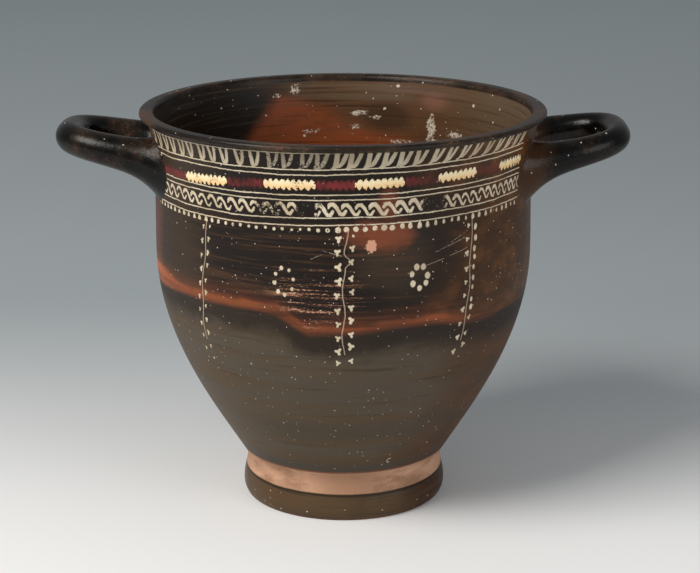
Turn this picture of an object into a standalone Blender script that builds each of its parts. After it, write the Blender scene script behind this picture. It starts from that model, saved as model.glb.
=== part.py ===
"""A fired-clay bell krater: a turned bowl on a ring foot, with a loop handle fused to each side.

The vessel stands on the plane z = 0 with its axis on Z. Its painted front faces -Y, and the
handles reach out along -X and +X. Lengths are in metres.
"""
import math

import bmesh
import bpy
import numpy as np
from mathutils import Vector

# Ring foot
FOOT_RADIUS = 0.0697
FOOT_WIDEST = 0.0068
FOOT_BOTTOM_TUCK = 0.0015
PINCH_DEPTH = 0.0027
PINCH_BELOW_BOWL = 0.0073
FOOT_HEIGHT = 0.0318
REST_WIDTH = 0.0090
REST_EDGE_ROUND = 0.0012
RECESS_CORNER = 0.0090
RECESS_TAPER = 0.0060

# Bowl
SPRING_FLARE = 0.0021
LOWER_HEIGHT = 0.1419
BELLY_RADIUS = 0.1261
UPPER_HEIGHT = 0.0897
SPRING_ANGLE = math.radians(30.9)
SPRING_FULLNESS = 0.0360
BELLY_FULLNESS = 0.0594
WAIST_FULLNESS = 0.0386
FLARE_FULLNESS = 0.0166
FLARE_ANGLE = math.radians(27.6)
WALL_THICKNESS = 0.0060
FLOOR_THICKNESS = 0.0110
FLOOR_RISE = 0.0055
FLOOR_CORNER = 0.0240

# Lip
LIP_RADIUS = 0.1350
LIP_OVERHANG = 0.0040
LIP_HEIGHT = 0.0046
LIP_WIDTH = 0.0092

# Loop handles
HANDLE_DROP = 0.0300
HANDLE_REACH = 0.0708
LEG_SPREAD = 0.0702
HANDLE_RISE = math.radians(11.5)
LOOP_SQUARENESS = 3.1
ROOT_THICKNESS = 0.0262
FILLET_REACH = 0.0068
FILLET_BELOW = 0.0118
FILLET_BESIDE = 0.0060
FILLET_ABOVE = 0.0020
LEFT_THICKNESS = 0.0198
RIGHT_THICKNESS = 0.0174
LEFT_LEAN = math.radians(-2.0)
RIGHT_LEAN = math.radians(2.5)

# Fineness of the facets
TURNS = 60
CURVE_STEPS = 7
HANDLE_SIDES = 12
HANDLE_STEPS = 17
FILLET_STATIONS = (0.2, 0.8, 1.6, 2.6)

PINCH_RADIUS = FOOT_RADIUS - PINCH_DEPTH
PINCH_Z = FOOT_HEIGHT - PINCH_BELOW_BOWL
SPRING_RADIUS = PINCH_RADIUS + SPRING_FLARE
BELLY_Z = FOOT_HEIGHT + LOWER_HEIGHT
LIP_Z = BELLY_Z + UPPER_HEIGHT
RIM_Z = LIP_Z + LIP_HEIGHT
NECK_RADIUS = LIP_RADIUS - LIP_OVERHANG
FLOOR_Z = FOOT_HEIGHT + FLOOR_RISE
RECESS_Z = FLOOR_Z - FLOOR_THICKNESS
REST_OUTER = FOOT_RADIUS - FOOT_BOTTOM_TUCK - REST_EDGE_ROUND
REST_INNER = REST_OUTER - REST_WIDTH
HANDLE_Z = RIM_Z - HANDLE_DROP
ROOT_DEPTH = WALL_THICKNESS * 0.55


def bezier(start, start_pull, end_pull, end, steps):
    """Points of a cubic curve between two (radius, height) points, both ends included."""
    t = np.linspace(0.0, 1.0, steps + 1)[:, None]
    start, start_pull, end_pull, end = (np.array(p) for p in (start, start_pull, end_pull, end))
    return ((1 - t) ** 3 * start + 3 * (1 - t) ** 2 * t * start_pull
            + 3 * (1 - t) * t ** 2 * end_pull + t ** 3 * end)


def outer_wall(steps):
    """The bowl's outside from the foot up to the underside of the lip."""
    spring = (SPRING_RADIUS, FOOT_HEIGHT)
    spring_pull = (SPRING_RADIUS + SPRING_FULLNESS * math.sin(SPRING_ANGLE),
                   FOOT_HEIGHT + SPRING_FULLNESS * math.cos(SPRING_ANGLE))
    belly = (BELLY_RADIUS, BELLY_Z)
    lower = bezier(spring, spring_pull, (BELLY_RADIUS, BELLY_Z - BELLY_FULLNESS), belly, steps)
    neck = (NECK_RADIUS, LIP_Z)
    neck_pull = (NECK_RADIUS - FLARE_FULLNESS * math.sin(FLARE_ANGLE),
                 LIP_Z - FLARE_FULLNESS * math.cos(FLARE_ANGLE))
    upper = bezier(belly, (BELLY_RADIUS, BELLY_Z + WAIST_FULLNESS), neck_pull, neck, steps)
    return np.vstack([lower, upper[1:]])


FINE_WALL = outer_wall(200)


def wall_radius(height):
    """Outside radius of the bowl's wall at a height, without the lip."""
    return float(np.interp(height, FINE_WALL[:, 1], FINE_WALL[:, 0]))


def foot_outside():
    """The foot's outside, from the resting ring over its swell and pinch to the spring of the bowl."""
    bottom = (FOOT_RADIUS - FOOT_BOTTOM_TUCK, REST_EDGE_ROUND)
    widest = (FOOT_RADIUS, FOOT_WIDEST)
    pinch = (PINCH_RADIUS, PINCH_Z)
    spring = (SPRING_RADIUS, FOOT_HEIGHT)
    rise = PINCH_Z - FOOT_WIDEST
    spring_pull = PINCH_BELOW_BOWL * 0.25
    swell = bezier(bottom, (FOOT_RADIUS - FOOT_BOTTOM_TUCK * 0.4, FOOT_WIDEST * 0.35),
                   (FOOT_RADIUS, FOOT_WIDEST * 0.65), widest, 3)
    waist = bezier(widest, (FOOT_RADIUS, FOOT_WIDEST + rise * 0.45),
                   (PINCH_RADIUS, PINCH_Z - rise * 0.35), pinch, 4)
    opening = bezier(pinch, (PINCH_RADIUS, PINCH_Z + PINCH_BELOW_BOWL * 0.45),
                     (SPRING_RADIUS - spring_pull * math.sin(SPRING_ANGLE),
                      FOOT_HEIGHT - spring_pull * math.cos(SPRING_ANGLE)), spring, 3)
    return np.vstack([[(REST_OUTER, 0.0)], swell, waist[1:], opening[1:-1]])


def lip():
    """The everted lip, round its outer edge and over its flat top to the inner wall."""
    inner = NECK_RADIUS - WALL_THICKNESS
    edge = LIP_Z + LIP_HEIGHT * 0.55
    top_outer = LIP_RADIUS - LIP_WIDTH * 0.25
    top_inner = LIP_RADIUS - LIP_WIDTH * 0.80
    under = bezier((NECK_RADIUS, LIP_Z), (NECK_RADIUS + LIP_OVERHANG * 0.5, LIP_Z + LIP_HEIGHT * 0.2),
                   (LIP_RADIUS, LIP_Z + LIP_HEIGHT * 0.2), (LIP_RADIUS, edge), 3)
    over = bezier((LIP_RADIUS, edge), (LIP_RADIUS, LIP_Z + LIP_HEIGHT * 0.8),
                  (LIP_RADIUS - LIP_WIDTH * 0.1, RIM_Z), (top_outer, RIM_Z), 3)
    inside = bezier((top_inner, RIM_Z), (LIP_RADIUS - LIP_WIDTH * 0.95, RIM_Z),
                    (inner, LIP_Z + LIP_HEIGHT * 0.6), (inner, LIP_Z), 3)
    return np.vstack([under[1:], over[1:], inside])


def inner_wall():
    """The inside of the bowl, from under the lip down to the middle of the floor."""
    outside = outer_wall(CURVE_STEPS)
    slope = np.gradient(outside[:, 0], outside[:, 1])
    offset = WALL_THICKNESS * np.sqrt(1 + slope ** 2)
    inside = np.column_stack([outside[:, 0] - offset, outside[:, 1]])
    inside = inside[(inside[:, 1] > FLOOR_Z + FLOOR_CORNER) & (inside[:, 1] < LIP_Z)][::-1]
    corner_top = inside[-1]
    direction = (inside[-1] - inside[-2]) / np.linalg.norm(inside[-1] - inside[-2])
    floor = bezier(corner_top, corner_top + direction * FLOOR_CORNER, (corner_top[0] * 0.55, FLOOR_Z),
                   (0.0, FLOOR_Z), 7)
    return np.vstack([inside, floor[1:]])


def recess():
    """The hollow under the foot, from its middle out to the resting ring."""
    top = REST_INNER - RECESS_TAPER
    roof = [(0.0, RECESS_Z), (top * 0.5, RECESS_Z)]
    corner = bezier((top - RECESS_CORNER, RECESS_Z), (top - RECESS_CORNER * 0.4, RECESS_Z),
                    (top, RECESS_Z - RECESS_CORNER * 0.4), (top, RECESS_Z - RECESS_CORNER), 3)
    return np.vstack([roof, corner, [(REST_INNER, 0.0)]])


def turned_vessel():
    """The bowl, lip and foot as one turned body."""
    outline = np.vstack([recess(), foot_outside(), outer_wall(CURVE_STEPS), lip(), inner_wall()])
    bm = bmesh.new()
    verts = [bm.verts.new((radius, 0.0, height)) for radius, height in outline]
    edges = [bm.edges.new(pair) for pair in zip(verts, verts[1:])]
    bmesh.ops.spin(bm, geom=verts + edges, cent=(0, 0, 0), axis=(0, 0, 1), angle=2 * math.pi,
                   steps=TURNS, use_merge=True)
    bmesh.ops.remove_doubles(bm, verts=bm.verts, dist=1e-5)
    bmesh.ops.recalc_face_normals(bm, faces=bm.faces)
    return bm


def slide_to_wall(point, direction):
    """How far a point slides along a direction before it meets the wall's outer surface."""
    side = math.copysign(1.0, direction[0])
    slide = 0.0
    for _ in range(6):
        at = point + direction * slide
        target = math.sqrt(max(wall_radius(at[2]) ** 2 - at[1] ** 2, 0.0))
        slide += (side * target - at[0]) / direction[0]
    return slide


def loop_frame(side, lean):
    """A loop's directions, out from the wall and up and across it, and the middle of its roots."""
    out = np.array((side * math.cos(HANDLE_RISE), 0.0, math.sin(HANDLE_RISE)))
    up = np.array((-side * math.sin(HANDLE_RISE), 0.0, math.cos(HANDLE_RISE)))
    across = np.array((0.0, math.cos(lean), 0.0)) + up * math.sin(lean)
    root_x = math.sqrt(max(wall_radius(HANDLE_Z) ** 2 - (LEG_SPREAD / 2) ** 2, 0.0))
    return out, np.cross(out, across) * side, across, np.array((side * root_x, 0.0, HANDLE_Z))


def loop_rings(side, thickness, lean):
    """The rings of points round a loop handle's bar, from the near root to the far one."""
    out, lift, across, root = loop_frame(side, lean)
    turn = np.linspace(0.0, math.pi, 401)
    power = 2 / LOOP_SQUARENESS
    length = HANDLE_REACH - thickness / 2
    reach = length * np.abs(np.sin(turn)) ** power
    swing = -LEG_SPREAD / 2 * np.sign(np.cos(turn)) * np.abs(np.cos(turn)) ** power
    line = root + np.outer(reach, out) + np.outer(swing, across)
    line = np.vstack([line[:1] - out * ROOT_DEPTH, line, line[-1:] - out * ROOT_DEPTH])
    walked = np.concatenate([[0.0], np.cumsum(np.linalg.norm(np.diff(line, axis=0), axis=1))]) - ROOT_DEPTH
    total = walked[-1] - ROOT_DEPTH
    roots = np.concatenate([[-ROOT_DEPTH], np.array(FILLET_STATIONS) * FILLET_REACH])
    middle = np.linspace(roots[-1], total - roots[-1], HANDLE_STEPS)
    stations = np.concatenate([roots, middle[1:-1], total - roots[::-1]])

    def along(distance):
        return np.column_stack([np.interp(distance, walked, line[:, axis]) for axis in range(3)])

    points = along(stations)
    step = FILLET_REACH / 4
    tangents = along(stations + step) - along(stations - step)
    around = np.linspace(0.0, 2 * math.pi, HANDLE_SIDES + 1)
    rings = []
    for point, tangent in zip(points, tangents):
        outward = np.cross(lift, tangent / np.linalg.norm(tangent))
        away = float((point - root) @ out)
        slender = (1 - max(away, 0.0) / length) ** 2
        bar = (thickness + (ROOT_THICKNESS - thickness) * slender) / 2
        rings.append([bar_point(point, outward, lift, out, bar, away, angle) for angle in around])
    return rings


def bar_point(point, outward, lift, out, bar, away, angle):
    """One point on a handle's bar, flared into a fillet and fitted to the wall near a root."""
    fillet = (FILLET_BESIDE + (FILLET_BELOW - FILLET_BESIDE) * max(-math.sin(angle), 0.0)
              + (FILLET_ABOVE - FILLET_BESIDE) * max(math.sin(angle), 0.0))
    radius = bar + fillet * math.exp(-away / FILLET_REACH)
    place = point + (outward * math.cos(angle) + lift * math.sin(angle)) * radius
    fit = slide_to_wall(place, out) + away
    hold = max(1 - max(away, 0.0) / (FILLET_REACH * 2.5), 0.0) ** 2
    return place + out * fit * hold


def loop_handle(name, side, thickness, lean):
    """A guide object holding one handle, its roots sunk halfway into the wall."""
    rings = loop_rings(side, thickness, lean)
    steps = len(rings) - 1
    bm = bmesh.new()
    bmesh.ops.create_grid(bm, x_segments=HANDLE_SIDES, y_segments=steps, size=0.5)
    for vert in bm.verts:
        column = round((vert.co.x + 0.5) * HANDLE_SIDES)
        row = round((vert.co.y + 0.5) * steps)
        vert.co = rings[row][column]
    bmesh.ops.remove_doubles(bm, verts=bm.verts, dist=1e-6)
    bmesh.ops.holes_fill(bm, edges=bm.edges, sides=0)
    caps = [face for face in bm.faces if len(face.verts) > 4]
    out = loop_frame(side, lean)[0]
    for hub in bmesh.ops.poke(bm, faces=caps)["verts"]:
        hub.co += Vector(out * (slide_to_wall(np.array(hub.co), out) - ROOT_DEPTH))
    bmesh.ops.recalc_face_normals(bm, faces=bm.faces)
    guide = add_object(name, bm, None)
    guide.hide_render = True
    guide.display_type = "WIRE"
    return guide


def add_object(name, bm, material):
    mesh = bpy.data.meshes.new(name)
    bm.to_mesh(mesh)
    bm.free()
    if material:
        mesh.materials.append(material)
    item = bpy.data.objects.new(name, mesh)
    bpy.context.collection.objects.link(item)
    return item


def fired_clay():
    """Dark brown-black glaze slip over fired clay."""
    material = bpy.data.materials.new("glazed clay")
    material.use_nodes = True
    shader = material.node_tree.nodes["Principled BSDF"]
    shader.inputs["Base Color"].default_value = (0.045, 0.030, 0.021, 1.0)
    shader.inputs["Roughness"].default_value = 0.42
    shader.inputs["Metallic"].default_value = 0.0
    return material


def build():
    for item in list(bpy.data.objects):
        bpy.data.objects.remove(item)
    krater = add_object("krater", turned_vessel(), fired_clay())
    handles = [loop_handle("left handle guide", -1, LEFT_THICKNESS, LEFT_LEAN),
               loop_handle("right handle guide", 1, RIGHT_THICKNESS, RIGHT_LEAN)]
    for guide in handles:
        union = krater.modifiers.new("fuse " + guide.name, "BOOLEAN")
        union.operation = "UNION"
        union.solver = "EXACT"
        union.object = guide
    krater.data.shade_smooth()
    krater.data.set_sharp_from_angle(angle=math.radians(40))


build()
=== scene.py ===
"""A fired-clay bell krater with dark glaze and painted bands, on a pale floor in soft studio light."""
import math

import bmesh
import bpy
import numpy as np
from mathutils import Matrix, Vector


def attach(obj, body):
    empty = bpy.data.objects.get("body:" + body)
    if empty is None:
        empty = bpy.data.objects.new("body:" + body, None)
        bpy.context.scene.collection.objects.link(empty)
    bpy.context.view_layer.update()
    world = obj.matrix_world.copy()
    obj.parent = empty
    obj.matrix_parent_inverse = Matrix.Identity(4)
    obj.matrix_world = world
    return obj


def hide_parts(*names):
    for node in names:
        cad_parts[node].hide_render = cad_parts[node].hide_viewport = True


bl_info = {
    "name": "Bell Krater",
    "version": (1, 0, 0),
    "blender": (4, 5, 0),
    "location": "View3D > Sidebar > Krater",
    "description": "Builds a glazed and painted bell krater and the stage that it stands on",
    "category": "Add Mesh",
}

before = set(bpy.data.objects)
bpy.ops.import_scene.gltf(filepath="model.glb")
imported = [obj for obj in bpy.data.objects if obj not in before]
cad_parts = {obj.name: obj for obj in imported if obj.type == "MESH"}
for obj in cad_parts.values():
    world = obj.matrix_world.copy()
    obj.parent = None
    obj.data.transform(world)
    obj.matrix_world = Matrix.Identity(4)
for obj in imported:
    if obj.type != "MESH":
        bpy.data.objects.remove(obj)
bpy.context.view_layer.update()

# Ring foot, in metres
FOOT_RADIUS = 0.0697
FOOT_WIDEST = 0.0068
FOOT_TUCK = 0.0015
PINCH_RADIUS = 0.0670
PINCH_Z = 0.0245
SPRING_RADIUS = 0.0691
SPRING_Z = 0.0318
REST_OUTER = 0.0670
REST_INNER = 0.0580
REST_EDGE = 0.0012
RECESS_Z = 0.0263
RECESS_CORNER = 0.0090
RECESS_TAPER = 0.0060

# Bowl
SPRING_ANGLE = math.radians(30.9)
SPRING_FULLNESS = 0.0360
BELLY_RADIUS = 0.1261
BELLY_Z = 0.1737
BELLY_FULLNESS = 0.0594
WAIST_FULLNESS = 0.0386
FLARE_FULLNESS = 0.0166
FLARE_ANGLE = math.radians(27.6)
WALL = 0.0060
FLOOR_Z = 0.0373
FLOOR_CORNER = 0.0240

# Lip
NECK_RADIUS = 0.1310
LIP_Z = 0.2634
LIP_HEIGHT = 0.0046
LIP_RADIUS = 0.1350
LIP_WIDTH = 0.0092
RIM_Z = 0.2680

# Loop handles
HANDLE_Z = 0.2380
HANDLE_REACH = 0.0706
LEG_SPREAD = 0.0702
HANDLE_RISE = math.radians(11.5)
LOOP_SQUARENESS = 3.1
ROOT_THICKNESS = 0.0262
ROOT_DEPTH = 0.0033
FILLET_REACH = 0.0068
FILLET_BELOW = 0.0118
FILLET_BESIDE = 0.0060
FILLET_ABOVE = 0.0020

# Numbers of the finishes on the krater's faces, and the heights where the wall's change
FRIEZE, BELLY, BASE, FOOT, LIP, INSIDE, HANDLES, UNDERSIDE = range(8)
FRIEZE_BOTTOM = 0.2116
BELLY_BOTTOM = 0.1050

# Where the handles' roots are smoothed into the wall
ROOTS_BESIDE = 0.0900
ROOTS_ABOVE = 0.1900
ROOTS_UNDER_LIP = 0.0010
ROOTS_REACH = 0.0035
ROOTS_PASSES = 5

# Camera, as it stood for the photograph, and the lights, each with its place, side and colour
CAMERA_AT = (0.0, -1.2164, 0.4928)
CAMERA_PITCH = math.radians(16.03)
CAMERA_YAW = math.radians(0.21)
CAMERA_ROLL = math.radians(-0.08)
CAMERA_SENSOR = 36.0
LIGHTS_AIM = (0, 0, 0.12)
KEY_LIGHT = ((-1.5, -1.1, 1.9), 1.3, (1.0, 0.97, 0.93))
FILL_LIGHT = ((1.6, -1.4, 0.9), 1.2, (0.94, 0.97, 1.0))
SURROUND_COLOUR = (0.97, 0.99, 1.0, 1.0)


def bezier(start, start_pull, end_pull, end, steps):
    """Points of a cubic curve between two (radius, height) points, both ends included."""
    t = np.linspace(0.0, 1.0, steps + 1)[:, None]
    start, start_pull, end_pull, end = (np.array(p) for p in (start, start_pull, end_pull, end))
    return ((1 - t) ** 3 * start + 3 * (1 - t) ** 2 * t * start_pull
            + 3 * (1 - t) * t ** 2 * end_pull + t ** 3 * end)


def outer_wall(steps):
    """The bowl's outside from the foot up to the underside of the lip."""
    pull = (SPRING_RADIUS + SPRING_FULLNESS * math.sin(SPRING_ANGLE),
            SPRING_Z + SPRING_FULLNESS * math.cos(SPRING_ANGLE))
    lower = bezier((SPRING_RADIUS, SPRING_Z), pull, (BELLY_RADIUS, BELLY_Z - BELLY_FULLNESS),
                   (BELLY_RADIUS, BELLY_Z), steps)
    neck_pull = (NECK_RADIUS - FLARE_FULLNESS * math.sin(FLARE_ANGLE),
                 LIP_Z - FLARE_FULLNESS * math.cos(FLARE_ANGLE))
    upper = bezier((BELLY_RADIUS, BELLY_Z), (BELLY_RADIUS, BELLY_Z + WAIST_FULLNESS), neck_pull,
                   (NECK_RADIUS, LIP_Z), steps)
    return np.vstack([lower, upper[1:]])


FINE_WALL = outer_wall(200)


def wall_radius(height):
    """Outside radius of the bowl's wall at a height, without the lip."""
    return float(np.interp(height, FINE_WALL[:, 1], FINE_WALL[:, 0]))


def foot_outside():
    """The foot's outside, over its swell and pinch to the spring of the bowl."""
    rise = PINCH_Z - FOOT_WIDEST
    above = SPRING_Z - PINCH_Z
    edge = bezier((REST_OUTER, 0.0), (REST_OUTER + REST_EDGE * 0.6, 0.0),
                  (FOOT_RADIUS - FOOT_TUCK, REST_EDGE * 0.4), (FOOT_RADIUS - FOOT_TUCK, REST_EDGE), 3)
    swell = bezier((FOOT_RADIUS - FOOT_TUCK, REST_EDGE),
                   (FOOT_RADIUS - FOOT_TUCK * 0.4, FOOT_WIDEST * 0.35),
                   (FOOT_RADIUS, FOOT_WIDEST * 0.65), (FOOT_RADIUS, FOOT_WIDEST), 7)
    waist = bezier((FOOT_RADIUS, FOOT_WIDEST), (FOOT_RADIUS, FOOT_WIDEST + rise * 0.45),
                   (PINCH_RADIUS, PINCH_Z - rise * 0.35), (PINCH_RADIUS, PINCH_Z), 10)
    opening = bezier((PINCH_RADIUS, PINCH_Z), (PINCH_RADIUS, PINCH_Z + above * 0.45),
                     (SPRING_RADIUS - above * 0.25 * math.sin(SPRING_ANGLE),
                      SPRING_Z - above * 0.25 * math.cos(SPRING_ANGLE)), (SPRING_RADIUS, SPRING_Z), 6)
    return np.vstack([edge, swell[1:], waist[1:], opening[1:-1]])


def lip():
    """The everted lip, round its outer edge and over its flat top to the inner wall."""
    inner = NECK_RADIUS - WALL
    edge = LIP_Z + LIP_HEIGHT * 0.55
    under = bezier((NECK_RADIUS, LIP_Z), (NECK_RADIUS * 0.5 + LIP_RADIUS * 0.5, LIP_Z + LIP_HEIGHT * 0.2),
                   (LIP_RADIUS, LIP_Z + LIP_HEIGHT * 0.2), (LIP_RADIUS, edge), 7)
    over = bezier((LIP_RADIUS, edge), (LIP_RADIUS, LIP_Z + LIP_HEIGHT * 0.8),
                  (LIP_RADIUS - LIP_WIDTH * 0.1, RIM_Z), (LIP_RADIUS - LIP_WIDTH * 0.25, RIM_Z), 6)
    inside = bezier((LIP_RADIUS - LIP_WIDTH * 0.8, RIM_Z), (LIP_RADIUS - LIP_WIDTH * 0.95, RIM_Z),
                    (inner, LIP_Z + LIP_HEIGHT * 0.6), (inner, LIP_Z), 6)
    top = np.array([(LIP_RADIUS - LIP_WIDTH * 0.53, RIM_Z)])
    return np.vstack([under[1:], over[1:], top, inside])


def inner_wall():
    """The inside of the bowl, from under the lip down to the middle of the floor."""
    outside = outer_wall(40)
    slope = np.gradient(outside[:, 0], outside[:, 1])
    inside = np.column_stack([outside[:, 0] - WALL * np.sqrt(1 + slope ** 2), outside[:, 1]])
    inside = inside[(inside[:, 1] > FLOOR_Z + FLOOR_CORNER) & (inside[:, 1] < LIP_Z - 0.004)][::-1]
    direction = (inside[-1] - inside[-2]) / np.linalg.norm(inside[-1] - inside[-2])
    floor = bezier(inside[-1], inside[-1] + direction * FLOOR_CORNER, (inside[-1][0] * 0.55, FLOOR_Z),
                   (0.0, FLOOR_Z), 20)
    return np.vstack([inside[::2], floor[1:]])


def recess():
    """The hollow under the foot, from its middle out to the resting ring."""
    top = REST_INNER - RECESS_TAPER
    roof = [(0.0, RECESS_Z), (top * 0.4, RECESS_Z)]
    corner = bezier((top - RECESS_CORNER, RECESS_Z), (top - RECESS_CORNER * 0.4, RECESS_Z),
                    (top, RECESS_Z - RECESS_CORNER * 0.4), (top, RECESS_Z - RECESS_CORNER), 8)
    return np.vstack([roof, corner, [(REST_INNER, 0.0)]])


def slide_to_wall(point, direction):
    """How far a point slides along a direction before it meets the wall's outer surface."""
    side = math.copysign(1.0, direction[0])
    slide = 0.0
    for _ in range(6):
        at = point + direction * slide
        target = math.sqrt(max(wall_radius(at[2]) ** 2 - at[1] ** 2, 0.0))
        slide += (side * target - at[0]) / direction[0]
    return slide


def loop_frame(side, lean):
    """A loop's directions, out from the wall and up and across it, and the middle of its roots."""
    out = np.array((side * math.cos(HANDLE_RISE), 0.0, math.sin(HANDLE_RISE)))
    up = np.array((-side * math.sin(HANDLE_RISE), 0.0, math.cos(HANDLE_RISE)))
    across = np.array((0.0, math.cos(lean), 0.0)) + up * math.sin(lean)
    root_x = math.sqrt(max(wall_radius(HANDLE_Z) ** 2 - (LEG_SPREAD / 2) ** 2, 0.0))
    return out, np.cross(out, across) * side, across, np.array((side * root_x, 0.0, HANDLE_Z))


def bar_point(point, outward, lift, out, bar, away, angle):
    """One point on a handle's bar, flared into a fillet and fitted to the wall near a root."""
    fillet = (FILLET_BESIDE + (FILLET_BELOW - FILLET_BESIDE) * max(-math.sin(angle), 0.0)
              + (FILLET_ABOVE - FILLET_BESIDE) * max(math.sin(angle), 0.0))
    radius = bar + fillet * math.exp(-away / FILLET_REACH)
    place = point + (outward * math.cos(angle) + lift * math.sin(angle)) * radius
    fit = slide_to_wall(place, out) + away
    hold = max(1 - max(away, 0.0) / (FILLET_REACH * 2.5), 0.0) ** 2
    return place + out * fit * hold


def loop_rings(side, thickness, lean, sides, steps):
    """The rings of points round a loop handle's bar, from the near root to the far one."""
    out, lift, across, root = loop_frame(side, lean)
    turn = np.linspace(0.0, math.pi, 801)
    power = 2 / LOOP_SQUARENESS
    length = HANDLE_REACH - thickness / 2
    reach = length * np.abs(np.sin(turn)) ** power
    swing = -LEG_SPREAD / 2 * np.sign(np.cos(turn)) * np.abs(np.cos(turn)) ** power
    line = root + np.outer(reach, out) + np.outer(swing, across)
    line = np.vstack([line[:1] - out * ROOT_DEPTH, line, line[-1:] - out * ROOT_DEPTH])
    walked = np.cumsum(np.linalg.norm(np.diff(line, axis=0), axis=1))
    walked = np.concatenate([[0.0], walked]) - ROOT_DEPTH
    total = walked[-1] - ROOT_DEPTH
    stations = np.linspace(0.0, total, steps + 1)
    stations = np.concatenate([[-ROOT_DEPTH], stations, [total + ROOT_DEPTH]])

    def along(distance):
        return np.column_stack([np.interp(distance, walked, line[:, axis]) for axis in range(3)])

    step = FILLET_REACH / 4
    tangents = along(stations + step) - along(stations - step)
    around = np.linspace(0.0, 2 * math.pi, sides + 1)
    rings = []
    for point, tangent in zip(along(stations), tangents):
        outward = np.cross(lift, tangent / np.linalg.norm(tangent))
        away = float((point - root) @ out)
        slender = (1 - max(away, 0.0) / length) ** 2
        bar = (thickness + (ROOT_THICKNESS - thickness) * slender) / 2
        rings.append([bar_point(point, outward, lift, out, bar, away, angle) for angle in around])
    return rings


def turned_vessel(turns):
    """The bowl, lip and foot turned about Z, each face given the number of its finish."""
    outline = np.vstack([recess(), foot_outside(), outer_wall(40), lip(), inner_wall()])
    bm = bmesh.new()
    verts = [bm.verts.new((radius, 0.0, height)) for radius, height in outline]
    edges = [bm.edges.new(pair) for pair in zip(verts, verts[1:])]
    bmesh.ops.spin(bm, geom=verts + edges, cent=(0, 0, 0), axis=(0, 0, 1), angle=2 * math.pi,
                   steps=turns, use_merge=True)
    bmesh.ops.remove_doubles(bm, verts=bm.verts, dist=1e-5)
    bmesh.ops.recalc_face_normals(bm, faces=bm.faces)
    for face in bm.faces:
        face.smooth = True
        face.material_index = finish_at(face.calc_center_median(), face.normal)
    return bm


def loop_handle(name, side, thickness, lean, sides, steps):
    """A guide object holding one handle, its roots sunk halfway into the wall."""
    rings = loop_rings(side, thickness, lean, sides, steps)
    steps = len(rings) - 1
    bm = bmesh.new()
    bmesh.ops.create_grid(bm, x_segments=sides, y_segments=steps, size=0.5)
    for vert in bm.verts:
        column = round((vert.co.x + 0.5) * sides)
        row = round((vert.co.y + 0.5) * steps)
        vert.co = rings[row][column]
    bmesh.ops.remove_doubles(bm, verts=bm.verts, dist=1e-6)
    bmesh.ops.holes_fill(bm, edges=bm.edges, sides=0)
    caps = [face for face in bm.faces if len(face.verts) > 4]
    out = loop_frame(side, lean)[0]
    for hub in bmesh.ops.poke(bm, faces=caps)["verts"]:
        hub.co += Vector(out * (slide_to_wall(np.array(hub.co), out) - ROOT_DEPTH))
    bmesh.ops.recalc_face_normals(bm, faces=bm.faces)
    for face in bm.faces:
        face.smooth = True
        face.material_index = HANDLES
    return new_object(name, bm)


def finish_at(centre, normal):
    """Which finish a face of the turned body has."""
    radius = math.hypot(centre.x, centre.y)
    outward = normal.x * centre.x + normal.y * centre.y
    if centre.z > LIP_Z - 1e-5 and radius > NECK_RADIUS - WALL:
        return LIP
    if centre.z > FLOOR_Z - 1e-4 and outward <= 0 and radius < wall_radius(centre.z) - WALL * 0.5:
        return INSIDE
    if outward > 0 and radius > REST_INNER + 1e-4:
        return FOOT if centre.z < SPRING_Z else BASE if centre.z < BELLY_BOTTOM else (
            BELLY if centre.z < FRIEZE_BOTTOM else FRIEZE)
    return UNDERSIDE


def new_object(name, bm):
    mesh = bpy.data.meshes.new(name)
    bm.to_mesh(mesh)
    bm.free()
    item = bpy.data.objects.new(name, mesh)
    bpy.context.collection.objects.link(item)
    return item


def ink(red, green, blue):
    """A linear colour from the 0 to 255 numbers of a screen colour."""
    steps = [level / 255 for level in (red, green, blue)]
    return tuple(s / 12.92 if s <= 0.04045 else ((s + 0.055) / 1.055) ** 2.4 for s in steps)


def maths_method(operation, swapped=False):
    """A method that hands its own value, and any other, to one kind of maths node."""

    def method(self, *others):
        values = (*others, self) if swapped else (self, *others)
        return self.finish.maths(operation, *values)

    return method


class Value:
    """A socket's value in a finish, so that shader maths reads as Python."""

    def __init__(self, finish, socket):
        self.finish = finish
        self.socket = socket

    __add__ = maths_method("ADD")
    __radd__ = maths_method("ADD", swapped=True)
    __sub__ = maths_method("SUBTRACT")
    __rsub__ = maths_method("SUBTRACT", swapped=True)
    __mul__ = maths_method("MULTIPLY")
    __rmul__ = maths_method("MULTIPLY", swapped=True)
    __truediv__ = maths_method("DIVIDE")
    __pow__ = maths_method("POWER")
    __gt__ = maths_method("GREATER_THAN")
    __lt__ = maths_method("LESS_THAN")
    __abs__ = maths_method("ABSOLUTE")
    floor = maths_method("FLOOR")
    wrap = maths_method("FRACT")
    root = maths_method("SQRT")
    least = maths_method("MINIMUM")
    most = maths_method("MAXIMUM")
    sine = maths_method("SINE")
    cosine = maths_method("COSINE")

    def held(self):
        """The value kept from 0 to 1."""
        return self.finish.maths("ADD", self, 0.0, clamp=True)

    def ease(self, low, high):
        """From 0 at low to 1 at high, smoothly."""
        return self.finish.out("ShaderNodeMapRange", {"interpolation_type": "SMOOTHSTEP"},
                               {"Value": self, "From Min": low, "From Max": high})

    def mix(self, share, other):
        """This colour with a share of another over it."""
        return self.finish.mix(share, self, other)


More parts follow.
